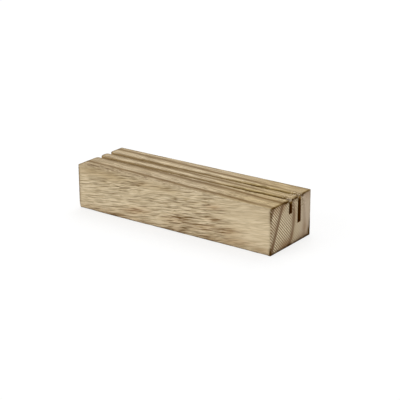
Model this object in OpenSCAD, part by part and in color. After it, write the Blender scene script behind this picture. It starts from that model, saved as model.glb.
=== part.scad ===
// Place card holder: one solid block of light wood with saw slots along its top.
// A card stands in either slot. The front slot is shallow and the rear one deep.
// Millimetres, +Z up. X runs along the slots, -Y is the front face.
// The origin is the centre of the flat bottom that the block rests on.

/* [Block] */
// Length of the block, along the slots
block_l = 100; // [40:1:240]
// Depth of the block, from the front face to the rear face
block_w = 30; // [26:0.5:60]
// Height of the block
block_h = 20; // [16:0.5:50]
// Radius that sanding leaves on every outer edge
edge_r = 0.5; // [0.2:0.1:3]

/* [Card slots] */
// Width of the land between the front face and the front slot
front_land_w = 13.5; // [6:0.1:16]
// Width of the rib between the slots
rib_w = 4.7; // [2:0.1:7]
// Width of the front slot, one pass of the saw
front_slot_w = 2; // [1:0.1:4]
// Depth of the front slot below the top
front_slot_d = 6; // [3:0.1:14]
// Width of the rear slot, one pass of the saw
rear_slot_w = 2; // [1:0.1:4]
// Depth of the rear slot below the top
rear_slot_d = 11.5; // [3:0.1:14]
// Radius of the eased edges of the slot mouths
mouth_r = 0.4; // [0.1:0.1:0.8]

/* [Hidden] */
$fn = 64;
// How far a cutting shape runs past the face that it opens
overrun = 1;
// Front wall of each slot, from the centre of the block
front_slot_y = front_land_w - block_w / 2;
rear_slot_y = front_slot_y + front_slot_w + rib_w;

// Rectangle centred on the origin, with its corners rounded to r
module eased_rectangle(w, h, r) {
    square([w - 2 * r, h], center = true);
    square([w, h - 2 * r], center = true);
    for (x = [-1, 1], y = [-1, 1])
        translate([x * (w / 2 - r), y * (h / 2 - r)])
            circle(r);
}

// What easing takes off a square corner at the origin, on the side that points to -x and -y
module eased_corner_waste(r) {
    difference() {
        translate([-r, -r])
            square([r + overrun, r + overrun]);
        translate([-r, -r])
            circle(r);
        translate([0, -r])
            square([overrun, r + overrun]);
    }
}

// Cross-section of a slot with its mouth at y = 0 and its front wall at x = 0
module slot_section(w, d) {
    translate([0, -d])
        square([w, d + overrun]);
    eased_corner_waste(mouth_r);
    translate([w, 0])
        mirror([1, 0])
            eased_corner_waste(mouth_r);
}

// Cross-section of the block, the same all along its length, standing on y = 0
module block_section() {
    difference() {
        translate([0, block_h / 2])
            eased_rectangle(block_w, block_h, edge_r);
        translate([front_slot_y, block_h])
            slot_section(front_slot_w, front_slot_d);
        translate([rear_slot_y, block_h])
            slot_section(rear_slot_w, rear_slot_d);
    }
}

// The block: its cross-section run along X, with the edges of the ends eased too
module holder_block() {
    color("burlywood")
        intersection() {
            rotate([90, 0, 90])
                linear_extrude(height = block_l, center = true)
                    block_section();
            translate([0, 0, block_h / 2])
                rotate([90, 0, 0])
                    linear_extrude(height = block_w + 2 * overrun, center = true)
                        eased_rectangle(block_l, block_h, edge_r);
            translate([0, 0, -overrun])
                linear_extrude(height = block_h + 2 * overrun)
                    eased_rectangle(block_l, block_w, edge_r);
        }
}

holder_block();
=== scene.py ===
# %% [markdown]
# # A place card holder of sawn paulownia
#
# The real object is one block of light wood, 100 x 30 x 20 mm, with two saw cuts along its top that hold
# cards. There is nothing to assemble, so all the work is in the surface: edges that sandpaper has eased,
# saw cuts with burnt walls and torn ends, and grain that runs through the block and shows a different
# figure on every side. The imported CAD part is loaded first. It gives the true size, and nothing below may
# leave its box.

# %% Load the frame
import math

import bpy
import numpy as np
from mathutils import Matrix, Vector


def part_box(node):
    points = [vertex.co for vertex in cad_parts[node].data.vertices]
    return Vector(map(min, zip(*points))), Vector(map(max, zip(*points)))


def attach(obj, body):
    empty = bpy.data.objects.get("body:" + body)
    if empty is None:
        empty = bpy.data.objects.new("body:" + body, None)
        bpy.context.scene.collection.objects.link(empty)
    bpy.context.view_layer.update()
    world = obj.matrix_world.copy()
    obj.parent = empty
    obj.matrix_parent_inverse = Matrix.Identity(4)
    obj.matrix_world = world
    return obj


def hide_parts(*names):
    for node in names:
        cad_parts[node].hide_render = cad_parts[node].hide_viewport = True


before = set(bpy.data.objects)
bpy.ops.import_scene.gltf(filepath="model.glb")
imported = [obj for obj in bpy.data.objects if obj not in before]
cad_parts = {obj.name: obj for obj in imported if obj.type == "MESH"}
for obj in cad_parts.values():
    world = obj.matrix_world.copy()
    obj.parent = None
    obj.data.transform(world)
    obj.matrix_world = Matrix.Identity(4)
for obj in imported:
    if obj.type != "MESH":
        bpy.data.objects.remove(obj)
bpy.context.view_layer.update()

MM = 0.001
low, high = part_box("holder_block")
LENGTH, WIDTH, HEIGHT = ((high[i] - low[i]) / MM for i in range(3))
print(f"block {LENGTH:.1f} x {WIDTH:.1f} x {HEIGHT:.1f} mm")

# %% [markdown]
# ## The sizes of the saw cuts
#
# The mesh is worked out in millimetres from the block's front left bottom corner: x along the slots, y from
# the front face to the rear, z up. These are the same sizes as in the CAD part: a shallow front slot and a
# deep rear one.

# %% Slot sizes
FRONT_LAND, RIB = 13.5, 4.7
SLOT = 2.0
FRONT_DEPTH, REAR_DEPTH = 6.0, 11.5
FRONT_SLOT = (FRONT_LAND, FRONT_LAND + SLOT)
REAR_SLOT = (FRONT_SLOT[1] + RIB, FRONT_SLOT[1] + RIB + SLOT)
FRONT_FLOOR, REAR_FLOOR = HEIGHT - FRONT_DEPTH, HEIGHT - REAR_DEPTH
print("slots at y", FRONT_SLOT, REAR_SLOT)

# %% [markdown]
# ## The block's surface
#
# A sharp block with slots is easy to lay out as flat grids. Rounding its edges is one step more: the eased
# block is the set of points within a radius of a smaller block, so every point of the sharp surface is
# pulled towards the nearest point of that smaller block until it lies one radius away. Flat faces stay
# where they are and every outer edge turns into an arc. This beats a Bevel modifier here, because the
# radius can change along an edge, and a bite torn out by the saw is only a place where the radius is
# suddenly larger.

# %% Grid lines
EASE_STEPS = 5       # grid steps across half of an eased edge
LARGEST_EASE = 1.0   # the grid is fine this far from each edge, in mm


def grid_lines(places, step):
    """Places along one axis: each stretch between two edges has EASE_STEPS short steps at both ends, equal
    in the angle that they turn on the arc, and even steps of about `step` between."""
    turn = np.linspace(math.pi / 4, 0, EASE_STEPS)
    lines = []
    for a, b in zip(places, places[1:]):
        reach = min(LARGEST_EASE, (b - a) / 2.5)
        short = reach * (1 - np.tan(turn))
        middle = np.linspace(a + reach, b - reach, max(2, round((b - a - 2 * reach) / step) + 1))
        lines += [a + short[:-1], middle, b - short[-2::-1]]
    return np.unique(np.round(np.concatenate(lines), 5))


xs = grid_lines([0, LENGTH], 0.55)
ys = grid_lines([0, *FRONT_SLOT, *REAR_SLOT, WIDTH], 0.7)
zs = grid_lines([0, REAR_FLOOR, FRONT_FLOOR, HEIGHT], 0.7)
print("grid lines", len(xs), len(ys), len(zs))

# %% The cross-section as one closed outline


def run(values, a, b, axis, level):
    """Points (y, z) at the grid values from a to b, in that direction, with the other coordinate at one
    level."""
    v = values[(values >= min(a, b) - 1e-6) & (values <= max(a, b) + 1e-6)]
    v = v if b > a else v[::-1]
    pair = (v, np.full_like(v, level))
    return np.stack(pair if axis == "y" else pair[::-1], axis=1)[:-1]


outline = np.concatenate([
    run(ys, 0, WIDTH, "y", 0),                                # under side
    run(zs, 0, HEIGHT, "z", WIDTH),                           # rear face
    run(ys, WIDTH, REAR_SLOT[1], "y", HEIGHT),                # rear land
    run(zs, HEIGHT, REAR_FLOOR, "z", REAR_SLOT[1]),
    run(ys, REAR_SLOT[1], REAR_SLOT[0], "y", REAR_FLOOR),
    run(zs, REAR_FLOOR, HEIGHT, "z", REAR_SLOT[0]),
    run(ys, REAR_SLOT[0], FRONT_SLOT[1], "y", HEIGHT),        # rib
    run(zs, HEIGHT, FRONT_FLOOR, "z", FRONT_SLOT[1]),
    run(ys, FRONT_SLOT[1], FRONT_SLOT[0], "y", FRONT_FLOOR),
    run(zs, FRONT_FLOOR, HEIGHT, "z", FRONT_SLOT[0]),
    run(ys, FRONT_SLOT[0], 0, "y", HEIGHT),                   # front land
    run(zs, HEIGHT, 0, "z", 0),                               # front face
])
print("outline points", len(outline))

# %% Sharp surface: a tube of quads and two end caps
MAP_GAP = 2.0        # space between the islands of the texture map, in mm


def sharp_block():
    """Points, quads, and each quad corner's place on a flat map in mm. The tube is the outline carried
    along x, and unrolls to a strip: distance round the outline across, x up. A cap is the (y, z) grid less
    the cells inside the slots, laid above the strip. Points that fall together are merged, so that the
    shell is closed."""
    n, m = len(xs), len(outline)
    round_it = np.linalg.norm(np.roll(outline, -1, axis=0) - outline, axis=1)
    travelled = np.concatenate([[0], np.cumsum(round_it)])
    tube = np.empty((n, m, 3))
    tube[..., 0] = xs[:, None]
    tube[..., 1:] = outline
    i, j = np.meshgrid(np.arange(n - 1), np.arange(m), indexing="ij")
    k = (j + 1) % m
    corners = ((i + 1, k, j + 1), (i + 1, j, j), (i, j, j), (i, k, j + 1))
    points = [tube.reshape(-1, 3)]
    quads = [np.stack([a * m + b for a, b, _ in corners], -1).reshape(-1, 4)]
    flat = [np.stack([np.stack([travelled[c], xs[a]], -1) for a, _, c in corners], 2).reshape(-1, 4, 2)]
    wide, tall = len(ys), len(zs)
    a, b = np.meshgrid(np.arange(wide - 1), np.arange(tall - 1), indexing="ij")
    cell_y, cell_z = (ys[a] + ys[a + 1]) / 2, (zs[b] + zs[b + 1]) / 2
    cut = np.zeros(a.shape, bool)
    for (near, far), floor in ((FRONT_SLOT, FRONT_FLOOR), (REAR_SLOT, REAR_FLOOR)):
        cut |= (cell_y > near) & (cell_y < far) & (cell_z > floor)
    a, b = a[~cut], b[~cut]
    cells = np.stack([a * tall + b, (a + 1) * tall + b, (a + 1) * tall + b + 1, a * tall + b + 1], -1)
    place = np.stack([np.stack([ys[a + s], zs[b + t]], -1) for s, t in ((0, 0), (1, 0), (1, 1), (0, 1))], 1)
    for x, turn, left in ((0.0, -1, MAP_GAP), (LENGTH, 1, WIDTH + 2 * MAP_GAP)):
        cap = np.empty((wide, tall, 3))
        cap[..., 0] = x
        cap[..., 1], cap[..., 2] = np.meshgrid(ys, zs, indexing="ij")
        quads.append(cells[:, ::turn] + sum(map(len, points)))
        across = left + (place[..., :1] if turn > 0 else WIDTH - place[..., :1])
        flat.append(np.concatenate([across, LENGTH + MAP_GAP + place[..., 1:]], -1)[:, ::turn])
        points.append(cap.reshape(-1, 3))
    points, quads = np.concatenate(points), np.concatenate(quads)
    _, first, same = np.unique(np.round(points, 4), axis=0, return_index=True, return_inverse=True)
    quads = same.reshape(-1)[quads]
    used, quads = np.unique(quads, return_inverse=True)
    return points[first][used], quads.reshape(-1, 4), np.concatenate(flat)


points, quads, flat_map = sharp_block()
print("points", len(points), "quads", len(quads), "map", flat_map.reshape(-1, 2).max(0).round(1), "mm")

# %% [markdown]
# ## Wear and tear
#
# Sandpaper doesn't press evenly, so the eased radius drifts along each edge. Some edges it missed, and they
# stay crisp, and the bottom edge is worn at its left end. Each slot's mouth is rounded more on its front
# edge than on its rear one, and the blade tears small bites from it, most of all where it leaves the wood
# at the ends.

# %% Smooth random curves
EASE = 0.5                  # radius that sanding leaves on an outer edge, in mm
MOUTH_EASE = (0.7, 0.35)    # on the front and the rear edge of a slot's mouth
LEFT_EASE = (0.6, -0.2, 0.4, -0.2)    # mm added to the four mouth edges at the left end, front to rear
WALL_EASE = 0.06            # on the upright edge where a slot's wall meets the end face


def waves(x, seed, sizes, count=5):
    """A smooth random curve of about -1 to 1: the mean of sines with wavelengths over `sizes`, in mm."""
    rng = np.random.default_rng(seed)
    length = np.geomspace(*sizes, count)[:, None]
    return np.sin(2 * math.pi * (x / length + rng.random((count, 1)))).mean(0) * 1.6


def bites(x, seed, count, depth, length):
    """Extra depth of the edge at x: `count` rounded bites at random places, half of them near the ends."""
    rng = np.random.default_rng(seed)
    middle = rng.random(count) * LENGTH
    from_end = np.where(rng.random(count) < 0.5, 1, -1) * rng.random(count) ** 2 * 8
    middle = np.where(rng.random(count) < 0.5, from_end % LENGTH, middle)
    size = length * (0.5 + rng.random(count))
    deep = depth * rng.random(count) ** 1.5
    return (deep[:, None] * np.exp(-(((x - middle[:, None]) / size[:, None]) ** 2))).sum(0)


def fade(v, start, end):
    """0 before start, 1 after end, and the smooth curve 3t^2 - 2t^3 between."""
    t = np.clip((v - start) / (end - start), 0, 1)
    return t * t * (3 - 2 * t)


print("wave at 0, 25, 50 mm", waves(np.array([0, 25, 50.0]), 1, (7, 60)).round(2))

# %% The radius at each point


def ease_radius(p):
    """Radius of the eased edge for each point: the outer radius drifts with a few waves, is smaller on the
    edges that the sander has missed, and larger at the worn left end of the bottom and round the slots at
    the right end. Near a slot it fades to the slot's own radius: the mouth's, with its bites, at the top,
    and the wall's below."""
    x, y, z = p.T
    right, top, rear = LENGTH - x, HEIGHT - z, WIDTH - y
    missed = [np.maximum(x, y), np.maximum(x, top), np.maximum(rear, top), np.maximum(right, z),
              np.maximum(right, rear) + fade(z, 5, 8)]
    radius = EASE * (1 + 0.3 * waves(x + 3 * y + 2 * z, 1, (7, 60)))
    radius *= 1 - 0.65 * (1 - fade(np.min(missed, axis=0), 0.9, 1.7))
    radius += 0.6 * (1 - fade(x, 4, 12)) * (1 - fade(z, 0.8, 2.5))
    radius += 0.3 * fade(x, 97, 99) * fade(z, 18, 19) * fade(y, 9, 12) * (1 - fade(y, 23, 25))
    slots = [(*FRONT_SLOT, FRONT_FLOOR), (*REAR_SLOT, REAR_FLOOR)]
    for k, (wall, floor) in enumerate((w, floor) for near, far, floor in slots for w in (near, far)):
        mouth = MOUTH_EASE[k % 2] * (1 - 0.5 * fade(x, LENGTH - 5, LENGTH - 2)) + LEFT_EASE[k] * np.exp(-x)
        mouth = mouth * (1 + 0.3 * waves(x, 10 + k, (2.5, 30))) + bites(x, 20 + k, 26, 0.45, 0.5)
        here = WALL_EASE + (mouth - WALL_EASE) * fade(z, HEIGHT - 1.6, HEIGHT - 1.0)
        near = (1 - fade(np.abs(y - wall), 0.7, 1.1)) * fade(z, floor - 1, floor)
        radius = radius + (here - radius) * near
    return np.clip(radius, 0.08, 0.95)


def nearest_inside(p, r):
    """The point nearest to p in the block made smaller by r, and how far it is: the least over the five
    boxes that make the block up."""
    tops = [
        (0, FRONT_SLOT[0], HEIGHT), (FRONT_SLOT[1], REAR_SLOT[0], HEIGHT), (REAR_SLOT[1], WIDTH, HEIGHT),
        (0, REAR_SLOT[0], FRONT_FLOOR), (0, WIDTH, REAR_FLOOR),
    ]
    best, least = None, None
    for near, far, top in tops:
        c = np.stack([
            np.clip(p[:, 0], r, LENGTH - r),
            np.clip(p[:, 1], near + r, far - r),
            np.clip(p[:, 2], r, top - r),
        ], axis=1)
        d = np.linalg.norm(p - c, axis=1)
        if best is None:
            best, least = c, d
        else:
            closer = d < least - 1e-9
            best, least = np.where(closer[:, None], c, best), np.where(closer, d, least)
    return best, least


radius = ease_radius(points)
core, away = nearest_inside(points, radius)
eased = core + (points - core) * (radius / away)[:, None]
print("largest move by easing", round(float(np.abs(eased - points).max()), 2), "mm")

# %% [markdown]
# ## Into Blender
#
# The arrays go into one mesh. Its place is in its vertices, in metres in the frame's axes, and its object
# stays at the origin. The sharp angle keeps the corners at the bottom of the slots crisp while the arcs
# shade smoothly. The flat map becomes its UV map at one scale for every face, so that a texture baked from
# it is equally fine all round. Everything drawn below reads the block's own coordinates instead, because a
# grain has to run on from face to face.

# %% Make the mesh
CORNER = np.array(low)    # the block's front left bottom corner, in metres
MAP_SIDE = 138.0          # mm of surface across the square texture


def make_piece(name, p, faces):
    """A mesh object from points in block millimetres and faces."""
    mesh = bpy.data.meshes.new(name)
    mesh.from_pydata((p * MM + CORNER).tolist(), [], faces)
    mesh.polygons.foreach_set("use_smooth", np.ones(len(faces), bool))
    mesh.set_sharp_from_angle(angle=math.radians(50))
    piece = bpy.data.objects.new(name, mesh)
    bpy.context.scene.collection.objects.link(piece)
    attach(piece, "root")
    return piece


block = make_piece("wood_block", eased, quads.tolist())
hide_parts("holder_block")
layer = block.data.uv_layers.new(name="OFBake")
layer.uv.foreach_set("vector", ((flat_map + MAP_GAP) / MAP_SIDE).astype(np.float32).ravel())
print("triangles", 2 * len(quads))

# %% [markdown]
# ## Where the wood is marked
#
# Noise alone can't say where pores crowd together, which arris the sander has burnt or how dark a slot's
# wall is. Such things are functions of the place on the block, worked out at every vertex, and the material
# reads them. They could be painted by hand, but a mesh attribute with a name is exact, and it stays with
# the mesh wherever that goes.

# %% Attributes


def keep(piece, name, values):
    """Stores one number a vertex as an attribute."""
    piece.data.attributes.new(name, "FLOAT", "POINT").data.foreach_set("value", values.astype(np.float32))


def keep_vector(piece, name, values):
    """Stores three numbers a vertex as an attribute."""
    values = values.astype(np.float32).ravel()
    piece.data.attributes.new(name, "FLOAT_VECTOR", "POINT").data.foreach_set("vector", values)


def along(v, *stops):
    """A value that changes with v, straight between (place, value) stops and level beyond them."""
    return np.interp(v, *np.transpose(stops))


# %% [markdown]
# ## The run of the grain
#
# A board is cut from a stack of curved layers, so wood has coordinates of its own: along the fibres, across
# the growth rings, and up along the rings. Every pattern below is drawn in them, and the bend comes for
# free. The rings stand upright at the rear and lean over towards the front, and the fibres climb slightly
# where they meet the front.

# %% Grain coordinates
DRIFT = 0.048         # how far the fibres move towards the front for each mm to the right
RING_WIDTH = 7.0      # mm from one ring to the next along the top
NARROWEST = 5.2       # mm, the least width that a ring is given
AFTER, BEFORE = 0.25, 0.35    # the parts of a ring after one edge and before the next that keep their width
RING_X = (0, 30, 60, 80, 100)     # the places along x at which the edges of the rings are given, in mm
# Edges of the growth rings: y on the top at each place along x, then lean and bend with depth below the top
RINGS = [
    ((-0.6, -2.0, -3.6, -4.0, -5.0), -0.60, 0.0),
    ((6.4, 4.9, 3.3, 2.9, 1.9), -0.55, 0.0),
    ((13.2, 12.1, 10.9, 10.2, 8.7), -0.43, 0.0),
    ((20.2, 18.9, 17.7, 16.8, 15.2), 0.45, -0.027),
    ((27.2, 26.3, 25.2, 23.9, 22.4), 0.44, -0.016),
    ((34.2, 33.3, 32.2, 31.4, 29.8), 0.50, -0.012),
    ((41.2, 40.3, 39.2, 38.4, 36.8), 0.55, -0.010),
]


def grain(p):
    """Fibre coordinates in mm: along = x, across = y + DRIFT x, up = z - climb (x - middle) + a slight
    wave, where the climb is 0.15 at the front face and its arrises and falls away behind them."""
    x, y, z = p.T
    climb = 0.02 + 0.13 * np.exp(-np.maximum(y - 0.6, 0) / 5)
    wobble = 0.25 * waves(x + 2 * z, 31, (16, 60))
    return np.stack([x, y + DRIFT * x, z - climb * (x - LENGTH / 2) + wobble], axis=1)


def ring_number(p):
    """Counts growth rings from front to rear. At depth d below the top a ring's edge lies at y = place(x) +
    lean d + bend d^2, and the count runs evenly from one edge to the next. Where rings spread, it runs at
    one per RING_WIDTH close to an edge, so that the dark band there keeps its width."""
    x, y, z = p.T
    d = HEIGHT - z
    edges = np.stack([np.interp(x, RING_X, place) + lean * d + bend * d * d for place, lean, bend in RINGS])
    edges += 0.2 * waves(x, 32, (12, 50))
    k = np.clip((edges < y).sum(0) - 1, 0, len(RINGS) - 2)
    near, far = np.take_along_axis(edges, k[None], 0)[0], np.take_along_axis(edges, k[None] + 1, 0)[0]
    width = np.maximum(far - near, NARROWEST)
    part = np.clip((y - near) / width, 0, 1)
    start, stop = AFTER * RING_WIDTH / width, 1 - BEFORE * RING_WIDTH / width
    even = AFTER + (1 - BEFORE - AFTER) * (part - start) / np.maximum(stop - start, 1e-3)
    return k + np.where(part < start, part * width / RING_WIDTH,
                        np.where(part > stop, 1 - (1 - part) * width / RING_WIDTH, even))


def band_strength(p):
    """How dark the late wood is: nearly full on top, more so to the right but for a worn patch on the front
    land, faint on the front and rear faces, where one ring is cut lengthwise, and weaker towards the rear
    of the ends, which are sanded smoother there."""
    x, y, z = p.T
    lengthwise = np.minimum(fade(y, 0.1, 1.0), 1 - fade(y, WIDTH - 0.8, WIDTH - 0.1))
    strength = (0.85 + 0.15 * x / LENGTH) * (0.15 + 0.85 * lengthwise)
    strength *= 1 - 0.28 * fade(x, 84, 94) * (1 - fade(y, 4, 6)) * fade(z, 19.2, 19.8)
    at_end = 1 - fade(np.minimum(x, LENGTH - x), 0.2, 0.6)
    return strength * (1 - at_end * (0.15 + 0.14 * fade(y, 13, 15) + 0.46 * fade(y, 19, 21)))


keep_vector(block, "grain", grain(eased))
keep(block, "ring", ring_number(eased))
keep(block, "band", band_strength(eased))
print("rings", ring_number(eased).min().round(2), "to", ring_number(eased).max().round(2))

# %% [markdown]
# ## Crowded pores
#
# The front face cuts the rings at a low angle, so its pores come in patches: many short dark lines where
# the cut meets porous early wood, and plain wood between. Patches could be left to a broad noise, but then
# they would lie anywhere, so each is placed as a soft ellipse. It reaches a few mm into the block, and so
# it fades round the arris.

# %% Pore patches
# Patches on the front face: middle x and z, half length, half height, rise in degrees, pores, warmth
PATCHES = [
    (22, 18.8, 30, 3.2, 2, 0.58, 0.0), (18, 14.2, 11, 2.0, 6, 0.62, 0.0), (34, 17.4, 5, 1.1, 12, 0.95, 0.15),
    (28, 14.0, 8, 1.4, 8, 0.40, 0.0), (55, 14.6, 14, 2.0, 8, 0.35, 0.0), (48, 18.2, 12, 1.8, 4, 0.55, 0.0),
    (72, 15.0, 4.5, 1.0, 8, 0.34, 0.8), (72, 9.8, 4.5, 1.2, 10, 0.55, 0.6), (22, 5.5, 7, 1.6, 8, 0.34, 0.0),
    (31, 5.0, 7, 1.6, 12, 0.50, 0.9), (54, 5.8, 8, 2.4, 10, 0.60, 0.6), (68, 5.4, 11, 1.8, 10, 0.54, 0.6),
    (79, 6.0, 6, 2.0, 10, 0.70, 0.6), (22, 0.8, 26, 1.8, 0, 0.38, 0.5), (54, 1.4, 7, 1.8, 4, 0.66, 0.5),
    (70, 1.2, 8, 1.6, 4, 0.68, 0.5), (82, 2.2, 9, 1.7, 8, 0.48, 0.6), (96, 1.5, 5, 1.2, 5, 0.40, 0.5),
    (60, 11.5, 14, 4.5, 8, 0.28, 0.1),
]
PATCH_DEPTH = 5.0     # how far the patches reach in from the front face, in mm


def figure(p):
    """Pore density and warmth at each point: soft ellipses near the front face over a low base, which is
    lower in a clear band at the left and towards the right end, and one more crowded strip on top at the
    left, along the front arris. The whole top is slightly warm, and the pores are partly worn off the
    arris."""
    x, y, z = p.T
    clear = np.exp(-(((x - 24) / 18) ** 2 + ((z - 9.5) / 2.2) ** 2))
    pores = 0.20 - np.maximum(0.17 * fade(x, 72, 86), 0.15 * clear) * (1 - fade(y, 1, 6))
    warm = np.zeros(len(p))
    skin = np.exp(-(y / PATCH_DEPTH) ** 2)
    for x0, z0, long, tall, rise, dark, red in PATCHES:
        c, s = math.cos(math.radians(rise)), math.sin(math.radians(rise))
        u, v = (x - x0) * c + (z - z0) * s, (z - z0) * c - (x - x0) * s
        soft = np.exp(-((u / long) ** 2 + (v / tall) ** 2)) * skin
        pores = np.maximum(pores, dark * soft)
        warm = np.maximum(warm, red * soft)
    on_top = fade(z, 19.2, 19.8) * fade(y, 0.2, 1.0)
    warm = np.maximum(warm, 0.25 * on_top)
    pores = np.maximum(pores, 0.6 * on_top * (1 - fade(y, 2.5, 4.5)) * (1 - fade(x, 22, 42)))
    worn_off = 0.4 * np.exp(-(y ** 2 + (HEIGHT - z) ** 2) / 0.8 ** 2)
    return pores * (1 - worn_off), warm


def openness(p):
    """How open the pores are, 1 on plain wood. On the front face sanding has closed them along the upper
    left and towards the right end, and they gape in the middle."""
    x, y, z = p.T
    upper = along(x, (0, 0.5), (22, 0.45), (30, 0.15), (37, 0.35), (50, 0.4), (60, 0.0)) * fade(z, 14.5, 17)
    closed = np.maximum(upper, 0.38 * fade(x, 72, 82))
    gaping = 0.35 * np.exp(-(((x - 62) / 14) ** 2 + ((z - 9.5) / 6.5) ** 2))
    skin = np.exp(-(y / PATCH_DEPTH) ** 2) * (1 - fade(y, 0.3, 0.6) * fade(z, 19.3, 19.8))
    return 1 + (gaping - closed) * skin


pores, warmth = figure(eased)
keep(block, "openness", openness(eased))
keep(block, "pores", pores)
keep(block, "warmth", warmth)
upward = fade(eased[:, 2], 19.3, 19.8) * fade(eased[:, 1], 0.3, 0.6)    # 1 on top, behind the front arris
keep(block, "on_top", upward)
print("pores", pores.min().round(2), "to", pores.max().round(2))

# %% [markdown]
# ## Pale rims with painted highlight, stains and saw marks
#
# Behind each slot the blade has lifted a strip of fibres, which looks paler than the sanded top, and the
# strip also carries a painted highlight where the slot's rear arris faces the light. The ends are cut across
# the fibres. They take up dirt in brown stains and keep the slanting marks of the saw, except where they were
# sanded smoother, and at the right one the wood is torn round the slots. The unseen left end gets the same
# marks, but isn't torn, because a saw tears the side where it comes out.

# %% Pale rims with painted highlight, stains and saw marks


def pale_rims_and_highlight(p):
    """How pale each point of the top is: behind each slot runs a strip whose fibres the blade has lifted
    bare, and which is also a painted highlight along the slot's lit rear arris. Each strip is a bell curve
    across, with its own middle and strength along x."""
    x, y, z = p.T
    front = along(x, (0, 17.2), (30, 16.8), (60, 16.3), (75, 15.7), (100, 15.9))
    rear = along(x, (0, 24.7), (15, 24.4), (30, 23.2), (60, 22.8), (100, 22.3))
    strong = along(x, (0, 0.2), (12, 0.7), (50, 1), (100, 0.9))
    strips = np.exp(-((y - front) / 0.9) ** 2) + np.exp(-((y - rear) / 1.1) ** 2)
    return strong * strips * fade(z, 19.3, 19.7)


# Brown stains on the ends: middle y and z, half width, half height, lean in mm per mm, strength
STAINS = [
    (9.4, 18.2, 1.9, 2.6, 0.45, 0.65), (17.6, 12.2, 1.8, 5.5, 0.05, 0.38), (15.9, 3.5, 1.6, 3.0, 0.15, 0.55),
    (1.0, 3.2, 1.4, 2.6, 0.2, 0.60), (25.8, 4.6, 1.7, 2.8, 0.0, 0.45), (2.4, 11.0, 2.2, 3.0, 0.3, 0.30),
    (11.0, 1.4, 5.5, 2.6, 0.0, 0.76), (25.0, 1.6, 6.0, 1.6, 0.0, 0.45), (4.5, 18.6, 4.5, 2.4, 0.0, 0.52),
    (28.0, 18.6, 3.0, 2.2, 0.0, 0.32),
]


def end_marks(p):
    """Stain and saw-mark strength on the ends: leaning soft ellipses, and saw marks that fade from y = 13
    to the rear and in one worn ellipse above the middle."""
    x, y, z = p.T
    stain = np.zeros(len(p))
    for y0, z0, wide, tall, lean, dark in STAINS:
        soft = np.exp(-((y - y0 - lean * (z - z0)) / wide) ** 2 - ((z - z0) / tall) ** 2)
        stain = np.maximum(stain, dark * soft)
    worn = np.exp(-((y - 11.4) / 3.2) ** 2 - ((z - 15) / 4.2) ** 2)
    return stain, (1 - 0.85 * fade(y, 13, 19)) * (1 - 0.88 * worn)


def torn_wood(p):
    """How torn the wood is round the slots at the right end: a bell curve across each slot, wider at the rear
    one, that rises over the last few mm of the top and fades down the end face."""
    x, y, z = p.T
    round_slots = np.maximum(0.8 * np.exp(-((y - 14.8) / 3.0) ** 2), np.exp(-((y - 21.8) / 3.6) ** 2))
    return round_slots * fade(x, 93.5, 97.5) * fade(z, 11, 19)


stain, sawn = end_marks(eased)
keep(block, "pale_and_highlight", pale_rims_and_highlight(eased))
keep(block, "stain", stain)
keep(block, "sawn", sawn)
print("stained share of the surface", round(float((stain > 0.2).mean()), 3))

# %% [markdown]
# ## Burnt arrises and painted edge shade
#
# A belt sander heats a sharp edge until it browns, so the arrises are dark lines of uneven strength. Part of
# the same dark is painted shade: a contact shadow along the bottom edges and low on the right end's upright
# edges, shade on the front edges of the slots' mouths, and shade at the left end beside the slots' rear
# walls. An edge is where two faces meet: the distance to it comes from the distances to both, and the dark is
# a bell curve of that. This is smoother than a mask from the mesh's angles, and each edge can have its own
# strength along it.

# %% Burnt arrises, with painted contact shadow and edge shade


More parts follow.
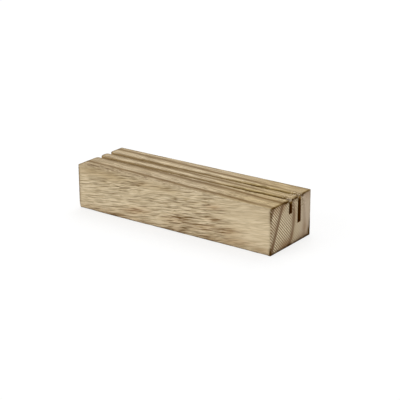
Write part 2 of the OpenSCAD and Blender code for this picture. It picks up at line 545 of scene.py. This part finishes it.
def burn_and_shade(p):
    """How dark each point is from burn and painted shade: for each edge, a strength along it times a bell
    curve of the distance.
    """
    x, y, z = p.T
    right, top, rear = LENGTH - x, HEIGHT - z, WIDTH - y
    # Each edge: the distances to its two faces, its strength, and the reach of the dark in mm
    edges = [
        (right, top - along(y, (8, 0.1), (12, 0.6), (23, 0.6), (26, 0.1)),
         along(y, (0, 1), (3, 0.9), (7, 0.75), (10, 1.3), (12, 0.9), (18, 1.1), (24, 0.8), (30, 0.7)), 0.6),
        # This edge and the other bottom edges, (x, z), (y, z) and (rear, z), are burn plus a painted contact
        # shadow; the right end's upright edges that follow grow darker towards the floor, which is also
        # painted contact shadow
        (right, z, along(y, (0, 1.2), (4, 1.2), (25, 1.3), (28, 1.6), (30, 1.7)), 1.0),
        (right, y, along(z, (0, 1.3), (2, 1.1), (4, 0.3), (12, 0.4), (15, 0.75), (18, 0.75), (20, 1.1)), 0.7),
        (right, rear, along(z, (0, 1.7), (2, 1.5), (5, 0.9), (9, 0.45), (17, 0.3), (20, 0.6)),
         along(z, (0, 1.9), (3, 1.6), (8, 0.8), (20, 0.6))),
        # On the left end's top edge the peaks beside the slots' rear walls are painted shade; elsewhere it is
        # burn
        (x, top, along(y, (0, 0.9), (13, 0.6), (15.4, 1.5), (18, 0.8), (20, 0.6), (22.1, 1.5), (25, 0.9),
                       (30, 0.9)), 0.7),
        (x, y, along(z, (0, 0.9), (20, 0.9)), 0.55),
        (x, z, along(y, (0, 0.7), (30, 0.7)), 0.6),
        (x, rear, along(z, (0, 0.6), (20, 0.6)), 0.5),
        (y, z, along(x, (0, 1.0), (60, 0.7), (100, 0.8)), 0.55),
        (rear, z, along(x, (0, 0.6), (100, 0.6)), 0.5),
        (rear, top, along(x, (0, 0.7), (100, 0.5)), 0.6),
        (y, top, along(x, (0, 0.3), (30, 0.15), (80, 0.1), (100, 0.25)), 0.9),
        # The front edges of the slots' mouths: partly burn, partly painted shade
        (np.abs(y - FRONT_SLOT[0]), top,
         along(x, (0, 0), (50, 0.1), (76, 0.6), (88, 0.4), (95, 0.2), (99, 0)), 0.6),
        (np.abs(y - REAR_SLOT[0]), top,
         along(x, (0, 0), (50, 0.3), (76, 0.7), (88, 0.45), (95, 0.25), (99, 0)), 0.7),
    ]
    dark = np.zeros(len(p))
    for k, (a, b, strength, reach) in enumerate(edges):
        uneven = 1 + 0.4 * waves(x + y + z, 50 + k, (1.5, 12))
        dark = np.maximum(dark, strength * uneven * np.exp(-(a ** 2 + b ** 2) / reach ** 2))
    return np.clip(dark, 0, 1)


burn_and_shade_amount = burn_and_shade(eased)
keep(block, "burn_and_shade", burn_and_shade_amount)
print("burnt share of the surface", round(float((burn_and_shade_amount > 0.3).mean()), 3))

# %% [markdown]
# ## Slot walls and end faces
#
# The blade rubbed the slots' walls brown, most of all right of the middle, and left a clean rim at their
# mouths. Below the rim the colour also carries painted shade, darker further down the slot. The same heat
# gives the wood near the burns a golden tint, and on the rims just below each mouth the golden multiply is
# painted shade, darker and warmer than the wood. All of it follows the depth below the top and the place
# along the slot, so it is kept as a few more attributes, with one that says where the fibres are cut across.

# %% Slot walls and end faces


def in_slot(p):
    """Depth below the top on the walls and floors of the saw cuts, in mm, and 0 elsewhere."""
    x, y, z = p.T
    depth = np.zeros(len(p))
    for (near, far), floor in ((FRONT_SLOT, FRONT_FLOOR), (REAR_SLOT, REAR_FLOOR)):
        between = (y > near - 0.05) & (y < far + 0.05) & (z > floor - 0.05)
        depth = np.where(between, HEIGHT - z, depth)
    return depth


def clean_rim(x):
    """How far below the top a slot's wall stays the colour of the wood, in mm: most near the right end. Below
    it begin the burn and the painted shade.
    """
    return along(x, (0, 0.1), (40, 0.3), (60, 0.4), (75, 0.62), (85, 0.8), (94, 1.4), (97, 1.3), (100, 0.8))


depth = in_slot(eased)
keep(block, "torn", torn_wood(eased) * (1 - fade(depth, 0.5, 1.0)))
# Depth below the clean rim, where the walls' burn and painted shade begin
keep(block, "burn_and_shade_depth", depth - clean_rim(eased[:, 0]))
keep(block, "burn", along(eased[:, 0], (0, 0.1), (66, 0.15), (76, 1), (85, 1), (92, 0.35), (100, 0.3)))
golden_tint_and_shade = upward * (0.4 * fade(eased[:, 0], 55, 92) + burn_and_shade_amount)
# Just below each slot's mouth the golden multiply is painted shade
golden_tint_and_shade = np.maximum(golden_tint_and_shade, fade(depth, 0.05, 0.35) * fade(eased[:, 0], 55, 80))
keep(block, "golden_tint_and_shade", np.clip(golden_tint_and_shade, 0, 1))
from_end = np.minimum(eased[:, 0], LENGTH - eased[:, 0])
keep(block, "end_grain", np.where(depth > 0.3, 0, 1 - fade(from_end, 0.1, 0.4)))
print("deepest point of a slot", round(float(depth.max()), 1), "mm")

# %% [markdown]
# ## Paulownia, sawn and sanded
#
# The finish is sawn and sanded paulownia with no varnish: pale and matt, with a roughness near 0.7 and
# little gloss. Its rings end in a band of brown late wood, and its large pores show as short dark lines
# along the fibres. A picture of wood could be laid on each face, but its lines would stop at the edges.
# Here one material draws all the faces from the grain coordinates, so lines meet at the edges as they do in
# solid wood.

# %% Colour and node helpers
FACTOR, A, B = 0, 6, 7                       # input numbers of a Mix node that mixes colours
BLEND = {"data_type": "RGBA", "out": 2}      # its setting, and the number of its output


def linear(hex_colour):
    """An sRGB hex colour as linear RGB and alpha, which is what shader sockets take."""
    s = np.array([int(hex_colour[i:i + 2], 16) for i in (1, 3, 5)]) / 255
    return (*np.where(s <= 0.04045, s / 12.92, ((s + 0.055) / 1.055) ** 2.4), 1.0)


def add(tree, kind, inputs=(), out=0, stops=(), **settings):
    """Adds a node, sets its options, fills its inputs with values or links, and returns one of its outputs,
    or all of them where out is None. stops are a colour ramp's (place, grey) pairs."""
    node = tree.nodes.new("ShaderNode" + kind)
    for key, value in settings.items():
        setattr(node, key, value)
    for key, value in dict(inputs).items():
        if isinstance(value, bpy.types.NodeSocket):
            tree.links.new(value, node.inputs[key])
        else:
            node.inputs[key].default_value = value
    for i, (place, grey) in enumerate(stops):
        ramp = node.color_ramp.elements
        stop = ramp[i] if i < 2 else ramp.new(place)
        stop.position, stop.color = place, (grey, grey, grey, 1)
    return node.outputs if out is None else node.outputs[out]


# %% Start the material


def read(name, out="Fac"):
    """The value of a mesh attribute."""
    return add(tree, "Attribute", attribute_name=name, out=out)


wood = bpy.data.materials.new("sanded_paulownia")
wood.use_nodes = True
tree = wood.node_tree
tree.nodes.clear()
block.data.materials.append(wood)
metres = add(tree, "TexCoord", out="Object")
here = add(tree, "Mapping", {"Vector": metres, "Location": tuple(-CORNER / MM), "Scale": (1 / MM,) * 3})
x, y, z = add(tree, "SeparateXYZ", {"Vector": here}, out=None)
fibres = read("grain", "Vector")
end, on_top = read("end_grain"), read("on_top")
crowd, warm, open_pores = read("pores"), read("warmth"), read("openness")
print("material", wood.name)

# %% Fibre patterns


def fibre_noise(length, across, up, **settings):
    """Noise in fibre coordinates whose spots are as long, wide and high as given, in mm."""
    cell = add(tree, "Mapping", {"Vector": fibres, "Scale": (1 / length, 1 / across, 1 / up)})
    return add(tree, "TexNoise", {"Vector": cell, "Scale": 1.0, **settings})


def cut_noise(oblique, lengthwise, **settings):
    """Fibre noise with one size where a face cuts the fibres and another on top, where they run along it.
    0, 2 and 3 are the inputs of a Mix node that mixes numbers."""
    return add(tree, "Mix", {0: on_top, 2: fibre_noise(*oblique, **settings),
                             3: fibre_noise(*lengthwise, **settings)})


# Pores. Real ones are 0.2 to 0.3 mm wide and some mm long, and are drawn a little coarser so that they show
streak = cut_noise((8, 0.9, 0.34), (24, 0.38, 0.34), Detail=1.0, Roughness=0.5, Distortion=0.1)
# Long vessels, a millimetre apart
vessel = cut_noise((16, 2.0, 1.1), (40, 0.8, 1.1), Detail=1.0, Roughness=0.4)
# Bundles of fibres. Real ones are about 0.1 mm wide, and are drawn at 0.4 mm so that they show
fine = cut_noise((5, 0.6, 0.4), (12, 0.4, 0.4), Detail=2.0, Roughness=0.6)
# Slow changes of tone, 2 to 3 mm wide
broad = fibre_noise(30, 3.0, 2.4, Detail=1.0, Roughness=0.5)

# %% [markdown]
# ## Rings, pores and saw marks as patterns
#
# A band of late wood darkens slowly and stops at once, so the ring count goes through a colour ramp that
# rises slowly and falls steeply. A pore is a peak of the streaky noise above a threshold, which is lower
# where pores crowd, and a thin vessel is where the long noise crosses its middle value. Saw marks are a
# sine of y + z, bent a little by the fine noise. None of these is a colour yet: they are numbers, which the
# colours and the relief below share.

# %% Growth rings
# The ramp's first two stops are its ends, which it has from the start
ragged = add(tree, "Math", {0: fine, 1: 0.10, 2: read("ring")}, operation="MULTIPLY_ADD")
phase = add(tree, "Math", {0: ragged, 1: 0.05}, operation="SUBTRACT")
phase = add(tree, "Math", {0: phase}, operation="FRACT")
late = add(tree, "ValToRGB", {"Fac": phase}, stops=[
    (0.0, 1.0), (1.0, 1.0), (0.1, 0.95), (0.19, 0.03), (0.35, 0.0), (0.66, 0.12), (0.84, 0.55), (0.92, 1.0)])
late = add(tree, "Math", {0: late, 1: read("band")}, operation="MULTIPLY")

# %% Pores
threshold = add(tree, "Math", {0: crowd, 1: -0.09, 2: 0.49}, operation="MULTIPLY_ADD")
full = add(tree, "Math", {0: threshold, 1: 0.13}, operation="ADD")
line = add(tree, "MapRange", {"Value": streak, "From Min": threshold, "From Max": full},
           interpolation_type="SMOOTHSTEP")
contour = add(tree, "Math", {0: vessel, 1: 0.5}, operation="SUBTRACT")
contour = add(tree, "Math", {0: contour}, operation="ABSOLUTE")
thread = add(tree, "MapRange", {"Value": contour, "From Min": 0.05, "From Max": 0.0, "To Max": 0.6})
line = add(tree, "Math", {0: line, 1: thread}, operation="ADD")
side = add(tree, "Math", {0: 1.0, 1: end}, operation="SUBTRACT")
strength = add(tree, "Math", {0: crowd, 1: 0.75, 2: 0.38}, operation="MULTIPLY_ADD")
strength = add(tree, "Math", {0: strength, 1: open_pores}, operation="MULTIPLY")
line = add(tree, "Math", {0: line, 1: strength}, operation="MULTIPLY")
line = add(tree, "Math", {0: line, 1: side}, operation="MULTIPLY")

# %% Saw marks across the end
MARK_PERIOD = 1.35    # change of y + z from one saw mark to the next in mm, which sets them 0.95 mm apart
slant = add(tree, "Math", {0: y, 1: z}, operation="ADD")
slant = add(tree, "Math", {0: fine, 1: 0.6, 2: slant}, operation="MULTIPLY_ADD")
hatch = add(tree, "Math", {0: slant, 1: 2 * math.pi / MARK_PERIOD}, operation="MULTIPLY")
hatch = add(tree, "Math", {0: hatch}, operation="SINE")
hatch = add(tree, "MapRange", {"Value": hatch, "From Min": -0.6, "From Max": 0.6,
                               "To Min": -1.0, "To Max": 1.0})
hatch = add(tree, "Math", {0: hatch, 1: read("sawn")}, operation="MULTIPLY")
patchy = add(tree, "MapRange", {"Value": vessel, "From Min": 0.3, "From Max": 0.55,
                                "To Min": 0.6, "To Max": 1.2})
hatch = add(tree, "Math", {0: hatch, 1: patchy}, operation="MULTIPLY")

# %% [markdown]
# ## Colour
#
# The colours go over each other from the pale bare wood to the darkest marks, each with a pattern as its
# factor: late wood, slow tone, fibres, a reddish warmth, the pale rims with their painted highlight, and the
# pores last. The ends have a mix of their own, because cut fibres take stain and show saw marks, and the
# burns with their painted edge shade and the torn wood with its painted shade and highlights cover both.

# %% Colour of the faces
colour = add(tree, "Mix", {FACTOR: late, A: linear("#DECDAD"), B: linear("#66502B")}, **BLEND)
tone = add(tree, "MapRange", {"Value": broad, "From Min": 0.4, "From Max": 0.7, "To Max": 0.15})
tone = add(tree, "Math", {0: crowd, 1: 0.2, 2: tone}, operation="MULTIPLY_ADD")
closed = add(tree, "Math", {0: 1.0, 1: open_pores}, operation="SUBTRACT")
filled = add(tree, "Math", {0: crowd, 1: 1.0, 2: 0.35}, operation="MULTIPLY_ADD")
tone = add(tree, "Math", {0: closed, 1: filled, 2: tone}, operation="MULTIPLY_ADD")
colour = add(tree, "Mix", {FACTOR: tone, A: colour, B: linear("#A38A60")}, **BLEND)
fibre = add(tree, "Math", {0: crowd, 1: 0.45, 2: 0.36}, operation="MULTIPLY_ADD")
fibre = add(tree, "Math", {0: fibre, 1: open_pores}, operation="MULTIPLY")
fibre = add(tree, "MapRange", {"Value": fine, "From Min": 0.42, "From Max": 0.66, "To Max": fibre})
colour = add(tree, "Mix", {FACTOR: fibre, A: colour, B: linear("#957D52")}, **BLEND)
reddish = add(tree, "Math", {0: warm, 1: 0.6}, operation="MULTIPLY")
colour = add(tree, "Mix", {FACTOR: reddish, A: colour, B: linear("#B3926C")}, **BLEND)
# Pale lifted fibres behind the slots, partly a painted highlight on the rear arris that faces the light
bare_and_highlight = add(tree, "Math", {0: read("pale_and_highlight"), 1: 0.6}, operation="MULTIPLY")
colour = add(tree, "Mix", {FACTOR: bare_and_highlight, A: colour, B: linear("#F0DEBA")}, **BLEND)
pore = add(tree, "Mix", {FACTOR: warm, A: linear("#634E2B"), B: linear("#6E4C28")}, **BLEND)
colour = add(tree, "Mix", {FACTOR: line, A: colour, B: pore}, **BLEND)

# %% Colour of the ends
light = add(tree, "MapRange", {"Value": hatch, "From Min": -1.0, "From Max": 1.0})
across = add(tree, "Mix", {FACTOR: light, A: linear("#856B42"), B: linear("#F6E6C5")}, **BLEND)
# Sanded smoother and greyer towards the rear
smooth = add(tree, "MapRange", {"Value": y, "From Min": 20.0, "From Max": 25.0})
across = add(tree, "Mix", {FACTOR: smooth, A: across, B: linear("#C6B39A")}, **BLEND)
across = add(tree, "Mix", {FACTOR: read("stain"), A: across, B: linear("#926B43")}, **BLEND)
across = add(tree, "Mix", {FACTOR: late, A: across, B: linear("#745638")}, **BLEND)
colour = add(tree, "Mix", {FACTOR: end, A: colour, B: across}, **BLEND)

# %% Slot walls: saw burn, and painted shade that darkens with depth
below = read("burn_and_shade_depth")
wall = add(tree, "MapRange", {"Value": below, "From Min": 0.0, "From Max": 0.2})
# Painted shade, darker from 0.6 to 1.6 mm below the clean rim
painted_depth_shade = add(tree, "MapRange", {"Value": below, "From Min": 0.6, "From Max": 1.6})
brown = add(tree, "Mix", {FACTOR: read("burn"), A: linear("#BCA174"), B: linear("#6C4E20")}, **BLEND)
brown = add(tree, "Mix", {FACTOR: painted_depth_shade, A: brown, B: linear("#583508")}, **BLEND)
colour = add(tree, "Mix", {FACTOR: wall, A: colour, B: brown}, **BLEND)
# Golden tint near the burns, which just below the slot mouths is painted shade
colour = add(tree, "Mix", {FACTOR: read("golden_tint_and_shade"), A: colour, B: (0.97, 0.88, 0.55, 1)},
            blend_type="MULTIPLY", **BLEND)

# %% Torn wood round the slots' ends, with painted shade and highlights
# Painted shade in hollows and painted highlights on raised crumbs of about 0.7 mm; the mesh has no relief
# here
crumbs = add(tree, "TexNoise", {"Vector": here, "Scale": 1.35, "Detail": 1.0, "Roughness": 0.6})
frayed = read("torn")
painted_hollow_shade = add(tree, "MapRange", {"Value": crumbs, "From Min": 0.5, "From Max": 0.43, "To Max": 0.85})
painted_hollow_shade = add(tree, "Math", {0: painted_hollow_shade, 1: frayed}, operation="MULTIPLY")
colour = add(tree, "Mix", {FACTOR: painted_hollow_shade, A: colour, B: linear("#5E4423")}, **BLEND)
painted_crumb_highlight = add(tree, "MapRange", {"Value": crumbs, "From Min": 0.55, "From Max": 0.62, "To Max": 0.75})
painted_crumb_highlight = add(tree, "Math", {0: painted_crumb_highlight, 1: frayed}, operation="MULTIPLY")
colour = add(tree, "Mix", {FACTOR: painted_crumb_highlight, A: colour, B: linear("#E9D9BC")}, **BLEND)

# %% Burnt arrises and painted edge shade, over all the rest
edge_burn_and_shade = read("burn_and_shade")
colour = add(tree, "Mix", {FACTOR: edge_burn_and_shade, A: colour, B: linear("#4B3008")}, **BLEND)

# %% [markdown]
# ## Relief and gloss
#
# Pores are open, so they are pressed in a little, and saw marks stand out from the end. Both are under a
# tenth of a millimetre deep, which is too shallow to be worth points in the mesh, so a Bump node bends the
# light there instead. Sanded bare wood has a weak, broad gloss. Charred wood has none, so the specular level
# falls to 0 on the burns, and also on the painted edge shade that shares their mask and on the slot walls.

# %% Relief and shader
RELIEF = 0.00008      # m, the depth that the bump stands for
relief = add(tree, "Math", {0: line, 1: -1.0, 2: fine}, operation="MULTIPLY_ADD")
marks = add(tree, "Math", {0: hatch, 1: end}, operation="MULTIPLY")
relief = add(tree, "Math", {0: marks, 1: 0.4, 2: relief}, operation="MULTIPLY_ADD")
bump = add(tree, "Bump", {"Height": relief, "Strength": 0.6, "Distance": RELIEF})
rough = add(tree, "MapRange", {"Value": fine, "From Min": 0.3, "From Max": 0.7,
                               "To Min": 0.66, "To Max": 0.8})
# Gloss falls on the burns, on the painted edge shade that shares their mask, and on the slot walls
burn_shade_and_wall = add(tree, "Math", {0: edge_burn_and_shade, 1: wall}, operation="MAXIMUM")
gloss = add(tree, "MapRange", {"Value": burn_shade_and_wall, "To Min": 0.15, "To Max": 0.0})
shader = add(tree, "BsdfPrincipled", {"Base Color": colour, "Roughness": rough, "Specular IOR Level": gloss,
                                      "Normal": bump})
add(tree, "OutputMaterial", {"Surface": shader}, out=None)
print("nodes in the wood", len(tree.nodes))

# %% [markdown]
# ## Torn fibres
#
# Where the saw leaves the wood it tears fibres loose, and some of them still hang across the mouths of the
# slots at the right end. Hair curves could draw them, but a mesh also shows in the STL file. Each splinter
# is a tapering tube, rooted in one wall and leaning down towards the other, and all of them are computed at
# once.

# %% Splinters across the slot mouths
SIDES = 6                 # points round a splinter
STATIONS = np.array([0.02, 0.2, 0.45, 0.7, 0.9, 0.98])    # places of its rings from root to tip
PER_SLOT = 18             # splinters in each slot
SPREAD = (2.2, 4.5)       # how far in from the end they reach in the front and the rear slot, in mm


def splinters(root, tip, thick, sag):
    """Each splinter runs from root to tip on a curve that dips by sag 4t(1-t) on the way. Its radius at t is
    thick (1 - 0.8t) sqrt(1 - t^2), square to its line, and fans to a point close both ends."""
    count, ring = len(root), len(STATIONS) * SIDES
    t = STATIONS[None, :, None, None]
    line = (tip - root)[:, None, None]
    middle = root[:, None, None] + line * t
    middle[..., 2:] -= sag[:, None, None, None] * 4 * t * (1 - t)
    side = np.cross(line, (0, 0, 1.0))
    side /= np.linalg.norm(side, axis=-1, keepdims=True)
    up = np.cross(side, line)
    up /= np.linalg.norm(up, axis=-1, keepdims=True)
    turn = (2 * math.pi * np.arange(SIDES) / SIDES)[None, None, :, None]
    radius = thick[:, None, None, None] * (1 - 0.8 * t) * np.sqrt(1 - t ** 2)
    tube = middle + radius * (np.cos(turn) * side + np.sin(turn) * up)
    p = np.concatenate([tube.reshape(count, ring, 3), root[:, None], tip[:, None]], axis=1)
    i, j = np.meshgrid(np.arange(len(STATIONS) - 1), np.arange(SIDES), indexing="ij")
    k = (j + 1) % SIDES
    quad = np.stack([i * SIDES + j, i * SIDES + k, (i + 1) * SIDES + k, (i + 1) * SIDES + j], -1)
    quad = quad.reshape(-1, 4)
    j, k = np.arange(SIDES), (np.arange(SIDES) + 1) % SIDES
    last = ring - SIDES
    at_root = np.stack([j * 0 + ring, k, j], -1)
    at_tip = np.stack([last + j, last + k, j * 0 + ring + 1], -1)
    fans = np.concatenate([at_root, at_tip])
    start = np.arange(count)[:, None, None] * (ring + 2)
    return p.reshape(-1, 3), (quad + start).reshape(-1, 4).tolist() + (fans + start).reshape(-1, 3).tolist()


rng = np.random.default_rng(5)
roots, tips = [], []
for (near, far), spread in zip((FRONT_SLOT, REAR_SLOT), SPREAD):
    from_far = np.arange(PER_SLOT) % 3 > 0      # two in three are rooted in the rear wall
    inward = spread * ((np.arange(PER_SLOT) + rng.random(PER_SLOT)) / PER_SLOT) ** 1.6
    z_root = HEIGHT - 0.25 - 0.7 * rng.random(PER_SLOT)
    reach = SLOT * (0.55 + 0.5 * rng.random(PER_SLOT))      # from half way to all the way across
    y_root = np.where(from_far, far + 0.15, near - 0.15)    # 0.15 mm inside the wall
    y_tip = y_root + np.where(from_far, -reach, reach)
    x_root = LENGTH - 0.25 - inward
    roots.append(np.stack([x_root, y_root, z_root], 1))
    x_tip = x_root + np.minimum(inward, 1.2) * (rng.random(PER_SLOT) - 0.6)
    tips.append(np.stack([x_tip, y_tip, z_root - 0.1 - 0.35 * rng.random(PER_SLOT)], 1))
roots, tips = np.concatenate(roots), np.concatenate(tips)
thick = 0.10 + 0.10 * rng.random(len(roots))                # radius at the root in mm
p, faces = splinters(roots, tips, thick, 0.05 + 0.1 * rng.random(len(roots)))
fuzz = make_piece("torn_fibres", p, faces)
print("splinters", len(roots), "reach x", p[:, 0].max().round(2), "z", p[:, 2].max().round(2))

# %% [markdown]
# ## Torn paulownia
#
# A torn fibre is the same wood with no sanding: rougher, and specked light and brown. The specks are about
# 0.4 mm, so that one or two fall on each splinter.

# %% Material of the splinters
torn = bpy.data.materials.new("torn_paulownia")
torn.use_nodes = True
tree = torn.node_tree
tree.nodes.clear()
fuzz.data.materials.append(torn)
metres = add(tree, "TexCoord", out="Object")
speck = add(tree, "TexNoise", {"Vector": metres, "Scale": 2500.0, "Detail": 1.0})
colour = add(tree, "Mix", {FACTOR: speck, A: linear("#F4E4C6"), B: linear("#6A4820")}, **BLEND)
shader = add(tree, "BsdfPrincipled", {"Base Color": colour, "Roughness": 0.85, "Specular IOR Level": 0.25})
add(tree, "OutputMaterial", {"Surface": shader}, out=None)
print("material", torn.name)

# %% [markdown]
# ## Camera
#
# The camera stands where the photograph's did. Its angles, distance and focal length were solved from the
# block's corners: the block's middle is the aim, and a small offset in the camera's own plane puts it in
# its place.

# %% Camera
AZIMUTH, ELEVATION, ROLL = math.radians(35.95), math.radians(19.57), math.radians(-0.225)
DISTANCE = 553.03         # mm from the block's middle
OFFSET = (-3.720, 0.650)  # mm right and up
FOCAL_PIXELS, IMAGE = 1298.86, 400    # focal length and image width in pixels


def set_camera():
    """A camera at the photographed angle. Its axes are right, up and back; the roll turns right and up
    about back."""
    s, c = math.sin(AZIMUTH), math.cos(AZIMUTH)
    se, ce = math.sin(ELEVATION), math.cos(ELEVATION)
    back = np.array([s * ce, -c * ce, se])
    right = np.array([c, s, 0.0])
    up = np.cross(back, right)
    cr, sr = math.cos(ROLL), math.sin(ROLL)
    right, up = cr * right + sr * up, -sr * right + cr * up
    middle = (np.array(low) + np.array(high)) / 2 / MM
    at = middle - OFFSET[0] * right - OFFSET[1] * up + DISTANCE * back
    data = bpy.data.cameras.new("camera")
    data.sensor_width = 36
    data.lens = FOCAL_PIXELS * data.sensor_width / IMAGE
    data.clip_start, data.clip_end = 0.01, 20
    camera = bpy.data.objects.new("camera", data)
    bpy.context.scene.collection.objects.link(camera)
    m = np.eye(4)
    m[:3, 0], m[:3, 1], m[:3, 2], m[:3, 3] = right, up, back, at * MM
    camera.matrix_world = Matrix(m.tolist())
    bpy.context.scene.camera = camera
    print("camera at", at.round(1), "mm, lens", round(data.lens, 1), "mm")


set_camera()

# %% [markdown]
# ## Floor and light
#
# The photograph has a pure white ground with a faint shadow in front of the block. The floor is a white
# matt sheet, and what the camera sees of it is mostly a constant white, so that it reaches full white
# without more light on the wood, while a share of real shading keeps the shadow. A white sky fills every
# side. A wide soft lamp above and behind the block lights its top and drops the shadow forward, and a wider
# one at the front left lights the front.

# %% Floor
FLOOR_SIZE = 4.0      # m
PLAIN_WHITE = 0.66    # share of the floor's look that is the constant white


def make_floor():
    """A square white sheet under the block. The constant white is a little over 1, because the real shading
    that is mixed in is a little under it."""
    mesh = bpy.data.meshes.new("floor")
    half = FLOOR_SIZE / 2
    corners = [(-half, -half, 0), (half, -half, 0), (half, half, 0), (-half, half, 0)]
    mesh.from_pydata(corners, [], [(0, 1, 2, 3)])
    floor = bpy.data.objects.new("floor", mesh)
    bpy.context.scene.collection.objects.link(floor)
    material = bpy.data.materials.new("white_paper")
    material.use_nodes = True
    t = material.node_tree
    t.nodes.clear()
    path = add(t, "LightPath", out=None)
    matt = add(t, "BsdfDiffuse", {"Color": (0.9, 0.9, 0.9, 1)})
    white = add(t, "Emission", {"Color": (1, 1, 1, 1), "Strength": 1.09})
    seen = add(t, "Math", {0: path["Is Camera Ray"], 1: PLAIN_WHITE}, operation="MULTIPLY")
    mixed = add(t, "MixShader", {0: seen, 1: matt, 2: white})
    add(t, "OutputMaterial", {"Surface": mixed}, out=None)
    mesh.materials.append(material)
    print("floor", FLOOR_SIZE, "m wide")


make_floor()

# %% Sky and lamps


def make_world():
    """A white sky that lights at 0.6 and shows as full white to the camera and in gloss."""
    world = bpy.data.worlds.new("studio")
    world.use_nodes = True
    t = world.node_tree
    t.nodes.clear()
    path = add(t, "LightPath", out=None)
    fill = add(t, "Background", {"Color": (1, 1, 1, 1), "Strength": 0.6})
    white = add(t, "Background", {"Color": (1, 1, 1, 1), "Strength": 1.05})
    seen = add(t, "Math", {0: path["Is Camera Ray"], 1: path["Is Transmission Ray"]}, operation="MAXIMUM")
    seen = add(t, "Math", {0: seen, 1: path["Is Glossy Ray"]}, operation="MAXIMUM")
    mixed = add(t, "MixShader", {0: seen, 1: fill, 2: white})
    add(t, "OutputWorld", {"Surface": mixed}, out=None)
    bpy.context.scene.world = world


def soft_light(name, at, size, power):
    """A square area lamp at a place in metres, aimed at the block."""
    data = bpy.data.lights.new(name, "AREA")
    data.size, data.energy = size, power
    lamp = bpy.data.objects.new(name, data)
    bpy.context.scene.collection.objects.link(lamp)
    lamp.location = at
    lamp.rotation_euler = (Vector((0, 0, HEIGHT * MM / 2)) - Vector(at)).to_track_quat("-Z", "Y").to_euler()
    print("lamp", name, "of", power, "W")


make_world()
soft_light("overhead", (-0.2, 0.6, 1.0), 0.8, 5.43)
soft_light("front_fill", (-0.45, -1.1, 0.35), 1.2, 8.1)
bpy.context.scene.view_settings.view_transform = "Standard"
